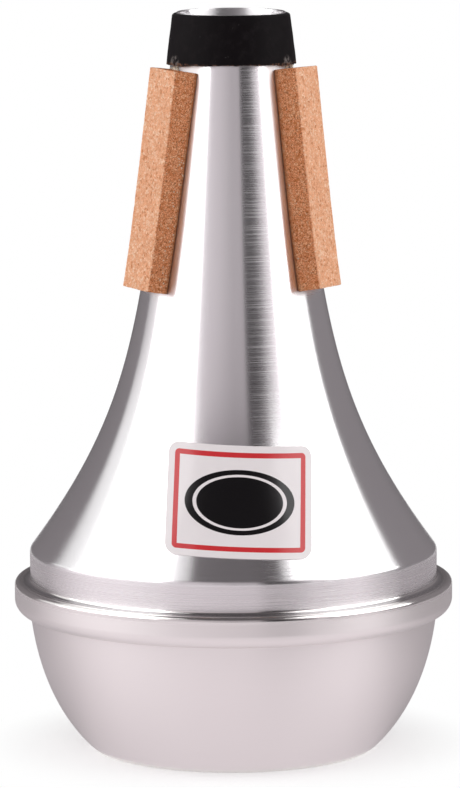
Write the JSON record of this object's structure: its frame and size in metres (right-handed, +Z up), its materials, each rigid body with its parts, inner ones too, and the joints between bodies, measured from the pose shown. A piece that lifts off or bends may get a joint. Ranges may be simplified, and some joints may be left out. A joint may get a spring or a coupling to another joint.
{
  "type": "bass trombone straight mute",
  "caption": "Bass trombone straight mute: spun aluminium cone and bowl joined by a rolled bead, with a rubber neck collar, cork wedge strips and a plain label.",
  "frame": {"origin": "centre of the flat base", "axes": "+Z up the mute's axis from the base to the neck, -Y towards the front, where the label is"},
  "size_m": [0.15, 0.15, 0.2521],
  "materials": {
    "spun_aluminium": "brushed round the axis",
    "satin_aluminium": "satin",
    "black_rubber": "matte",
    "cork": "pressed cork, cut faces",
    "label_film": "printed film, semi-gloss"
  },
  "bodies": {
    "root": {"cone_shell": "spun_aluminium", "base_bowl": "satin_aluminium", "neck_collar": "black_rubber", "cork_strip_left": "cork", "cork_strip_right": "cork", "cork_strip_rear": "cork", "label": "label_film"}
  },
  "joints": []
}
